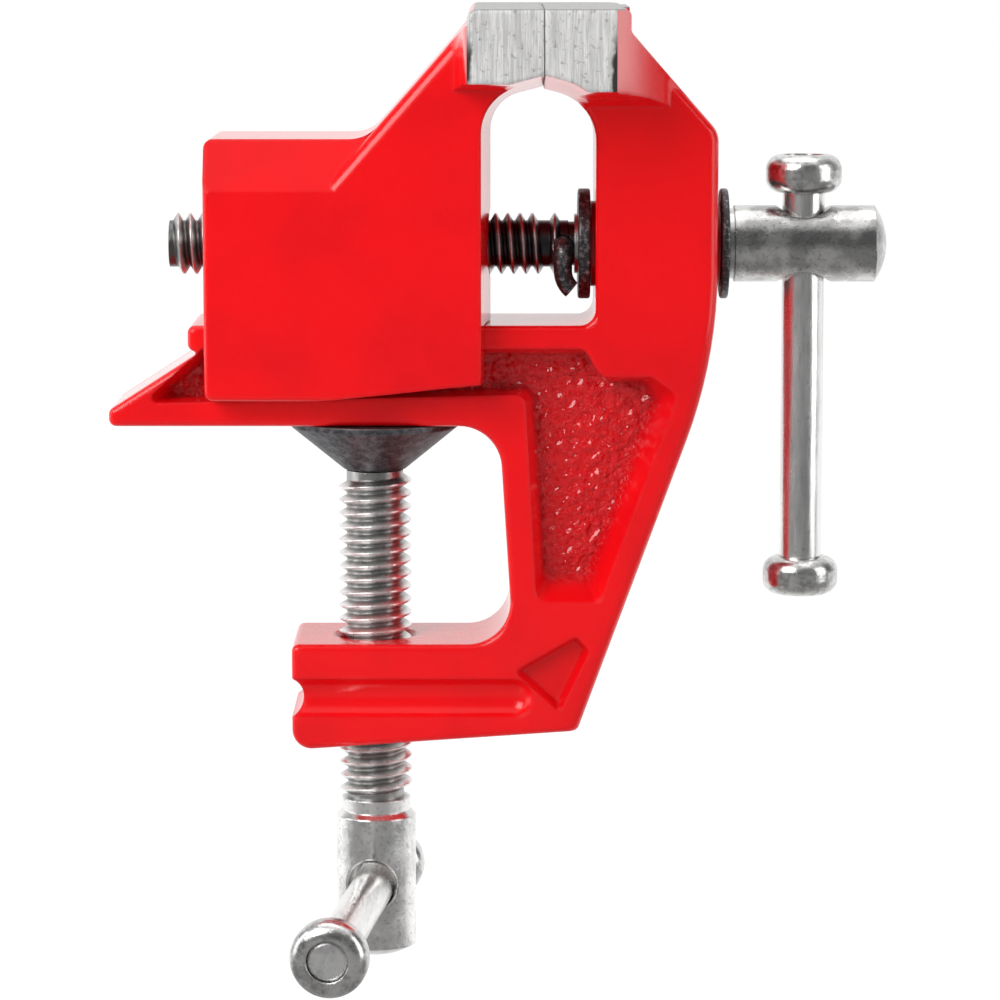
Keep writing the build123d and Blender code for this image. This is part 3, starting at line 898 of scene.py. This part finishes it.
def makePlated(name, steel, stretch):
    # the scratches run along the axis whose stretch is small
    look = plating
    finish, tree, shader = newFinish(name)
    coords = objectPlace(tree)
    edge = useGroup(tree, softEdge, Radius=look["edgeRadius"])
    drawn = stretched(tree, coords, stretch)
    marks = useGroup(tree, toolMarks, Place=drawn, Count=steel["markCount"])
    dirt = useGroup(tree, specks, Place=coords, Count=look["dirtCount"], Share=look["dirtAmount"])
    tone = ramp(tree, marks["Tone"], *look["tones"])
    plate = mixColour(tree, tone, steel["shade"], steel["bright"])
    dirty = calc(tree, "MULTIPLY", dirt["Mask"], look["dirtShare"])
    feed(tree, shader["Base Color"], mixColour(tree, dirty, plate, look["dirt"]))
    shader["Metallic"].default_value = 1.0
    feed(tree, shader["Roughness"], between(tree, marks["Tone"], steel["rough"]))
    feed(tree, shader["Normal"], bump(tree, marks["Height"], look["bump"], edge["Normal"]))
    return finish


wear(makePlated("leadBarPlate", barSteel, (1, 1, 0.12)), "lead_bar")
wear(makePlated("clampBarPlate", barSteel, (1, 0.12, 1)), "clamp_bar")
wear(
    makePlated("knobPlate", knobSteel, (1, 1, 1)),
    "lead_bar_upper_knob", "lead_bar_lower_knob", "clamp_bar_near_knob", "clamp_bar_far_knob",
)
print("handles finished")


# floor, backdrop and light

studio = {
    # room below for the clamp screw, which comes down by 26.4 mm
    "floorDrop": 0.0270,
    "floorSize": 12.0,
    "floorColour": (0.80, 0.80, 0.80, 1),
    "floorThin": (0.16, 0.16, 0.16, 1),
    "floorDim": (-0.06, 0.10),
    "backgroundWhite": 0.95,
    "worldLevel": 0.34,
    "worldBehind": (0.25, 0.75),
    "worldAbove": (0.60, 0.92),
    "frontDark": 0.15,
    "aim": (0.012, 0.0, -0.005),
}

# each lamp's place, its width and height, and its power
softboxes = {
    "keyLeft": ((-0.42, -0.50, 0.42), (0.45, 0.45), 4.4),
    "sideRight": ((0.60, -0.22, 0.12), (0.30, 0.60), 1.3),
    "sideLeft": ((-0.62, -0.05, 0.10), (0.30, 0.60), 1.3),
    "overhead": ((0.02, 0.10, 0.62), (0.60, 0.45), 1.0),
}


def makeFloor(height):
    deselectAll()
    bpy.ops.mesh.primitive_grid_add(
        x_subdivisions=4, y_subdivisions=4, size=studio["floorSize"], location=(0, 0, height)
    )
    floor = bpy.context.active_object
    floor.name = "studioFloor"
    finish = bpy.data.materials.new("floorPaper")
    finish.use_nodes = True
    tree = finish.node_tree
    tree.nodes.clear()
    output = addNode(tree, "ShaderNodeOutputMaterial")
    paper = addNode(tree, "ShaderNodeBsdfDiffuse")
    paper.inputs["Color"].default_value = studio["floorColour"]
    thin = addNode(tree, "ShaderNodeBsdfDiffuse")
    thin.inputs["Color"].default_value = studio["floorThin"]
    glow = addNode(tree, "ShaderNodeEmission")
    both = addNode(tree, "ShaderNodeAddShader")
    tree.links.new(thin.outputs[0], both.inputs[0])
    tree.links.new(glow.outputs[0], both.inputs[1])
    path = addNode(tree, "ShaderNodeLightPath").outputs
    y = splitPlace(tree, objectPlace(tree))[1]
    # in reflections the paper is white behind the object and dim in front of it
    white = studio["backgroundWhite"]
    level = mixValue(tree, ramp(tree, y, *studio["floorDim"]), studio["frontDark"], white)
    feed(tree, glow.inputs["Strength"], mixValue(tree, path["Is Camera Ray"], level, white))
    mirrored = calc(tree, "MAXIMUM", path["Is Glossy Ray"], path["Is Transmission Ray"])
    seen = calc(tree, "MAXIMUM", path["Is Camera Ray"], mirrored)
    mixed = addNode(tree, "ShaderNodeMixShader")
    feed(tree, mixed.inputs[0], seen)
    tree.links.new(paper.outputs[0], mixed.inputs[1])
    tree.links.new(both.outputs[0], mixed.inputs[2])
    tree.links.new(mixed.outputs[0], output.inputs["Surface"])
    floor.data.materials.append(finish)


def makeWorld():
    world = bpy.data.worlds.new("studioWorld")
    bpy.context.scene.world = world
    world.use_nodes = True
    tree = world.node_tree
    tree.nodes.clear()
    output = addNode(tree, "ShaderNodeOutputWorld")
    path = addNode(tree, "ShaderNodeLightPath").outputs
    towards = addNode(tree, "ShaderNodeTexCoord").outputs["Generated"]
    x, y, z = splitPlace(tree, towards)
    # behind the object and overhead it is white, and the room in front is dim
    behind = ramp(tree, y, *studio["worldBehind"])
    above = ramp(tree, z, *studio["worldAbove"])
    bright = calc(tree, "MAXIMUM", behind, above)
    gloss = mixValue(tree, bright, studio["frontDark"], 1.0)
    mirrored = calc(tree, "MAXIMUM", path["Is Glossy Ray"], path["Is Transmission Ray"])
    level = mixValue(tree, mirrored, studio["worldLevel"], gloss)
    level = mixValue(tree, path["Is Camera Ray"], level, 1.0)
    shade = addNode(tree, "ShaderNodeBackground")
    shade.inputs["Color"].default_value = (1, 1, 1, 1)
    feed(tree, shade.inputs["Strength"], level)
    tree.links.new(shade.outputs[0], output.inputs["Surface"])


def turnTo(direction):
    # lamps and cameras look along their own -Z
    return direction.to_track_quat("-Z", "Y").to_euler()


def addSoftbox(name, place, size, power):
    lamp = bpy.data.lights.new(name, "AREA")
    lamp.shape = "RECTANGLE"
    lamp.size, lamp.size_y = size
    lamp.energy = power
    box = bpy.data.objects.new(name, lamp)
    bpy.context.scene.collection.objects.link(box)
    box.location = place
    box.rotation_euler = turnTo(Vector(studio["aim"]) - Vector(place))


makeFloor(frameBox[0][2] - studio["floorDrop"])
makeWorld()
for name, (place, size, power) in softboxes.items():
    addSoftbox(name, place, size, power)
print("studio lit")


# camera

view = {
    "target": (0.02066, 0.0, -0.01356),
    "distance": 0.686,
    "elevation": 7.9,
    "lens": 149.4,
    "sensor": 36.0,
    "clip": (0.01, 50.0),
}


def makeCamera():
    data = bpy.data.cameras.new("photoCamera")
    data.sensor_width = view["sensor"]
    data.lens = view["lens"]
    data.clip_start, data.clip_end = view["clip"]
    data.dof.use_dof = False
    camera = bpy.data.objects.new("photoCamera", data)
    bpy.context.scene.collection.objects.link(camera)
    rise = radians(view["elevation"])
    back = Vector((0, -cos(rise), sin(rise))) * view["distance"]
    camera.location = Vector(view["target"]) + back
    camera.rotation_euler = turnTo(-back)
    bpy.context.scene.camera = camera


makeCamera()
bpy.context.scene.view_settings.view_transform = "Standard"
print("camera placed")
